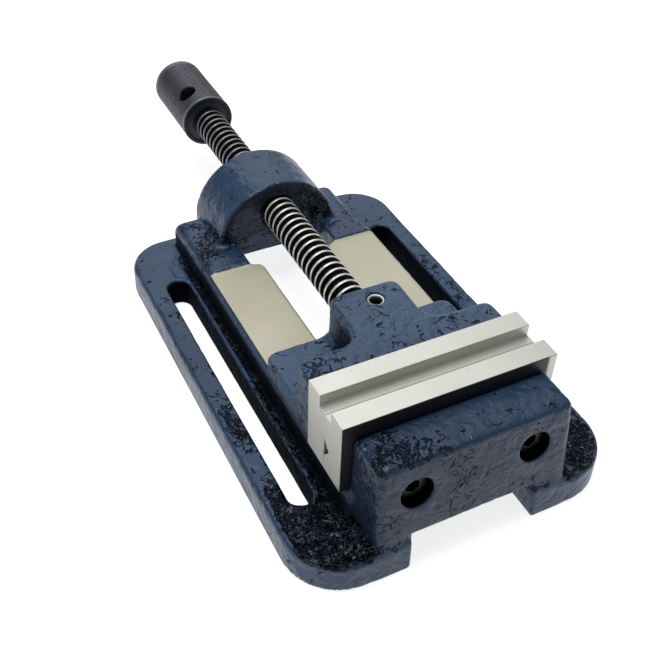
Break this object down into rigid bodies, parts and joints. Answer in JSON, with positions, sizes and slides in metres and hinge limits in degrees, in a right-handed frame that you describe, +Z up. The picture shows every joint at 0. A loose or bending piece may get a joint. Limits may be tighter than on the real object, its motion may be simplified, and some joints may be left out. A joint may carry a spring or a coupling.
{
  "type": "drill press vise",
  "caption": "Drill-press machine vise with slotted base flanges, ground steel jaw plates, a sliding jaw on flat ways and a screw spindle with a knurled head.",
  "frame": {"origin": "centre of the vise's bounding box, on the plane that the base stands on", "axes": "+X across the jaws, +Y from the fixed jaw along the spindle to its knurled head, +Z up"},
  "size_m": [0.154, 0.3526, 0.0658],
  "materials": {
    "casting": "blue-grey gloss enamel over rough cast iron, with bare machined ways",
    "moving_casting": "blue-grey gloss enamel over rough cast iron",
    "jaw_steel": "surface-ground hardened steel",
    "black_screws": "black oxide",
    "bright_fasteners": "zinc-plated steel",
    "keeper_steel": "sawn mild steel, oiled",
    "spindle_steel": "rolled thread with dark flanks and bright crests",
    "head_steel": "dark grey blued steel, knurled"
  },
  "bodies": {
    "base": {"base": "casting", "fixed_jaw_plate": "jaw_steel", "fixed_plate_screw_left": "black_screws", "fixed_plate_screw_right": "black_screws"},
    "moving_jaw": {"moving_jaw": "moving_casting", "moving_jaw_plate": "jaw_steel", "moving_plate_screw_left": "black_screws", "moving_plate_screw_right": "black_screws", "keeper_plate": "keeper_steel", "keeper_bolt_front": "bright_fasteners", "keeper_bolt_rear": "bright_fasteners", "keeper_washer_front": "bright_fasteners", "keeper_washer_rear": "bright_fasteners", "retaining_screw": "bright_fasteners", "thrust_disc": "bright_fasteners"},
    "spindle": {"spindle": "spindle_steel", "spindle_head": "head_steel"}
  },
  "joints": [
    {"name": "jaw_slide", "type": "slide", "parent": "base", "child": "moving_jaw", "axis": [0, 1, 0], "range_m": [0, 0.072]},
    {"name": "spindle_turn", "type": "hinge", "parent": "moving_jaw", "child": "spindle", "pos_m": [0, 0, 0.0427], "axis": [0, 1, 0], "range_deg": [0, 5184]}
  ],
  "couplings": [
    {"joint": "spindle_turn", "follows": "jaw_slide", "rad_per_m": 1256.6}
  ]
}
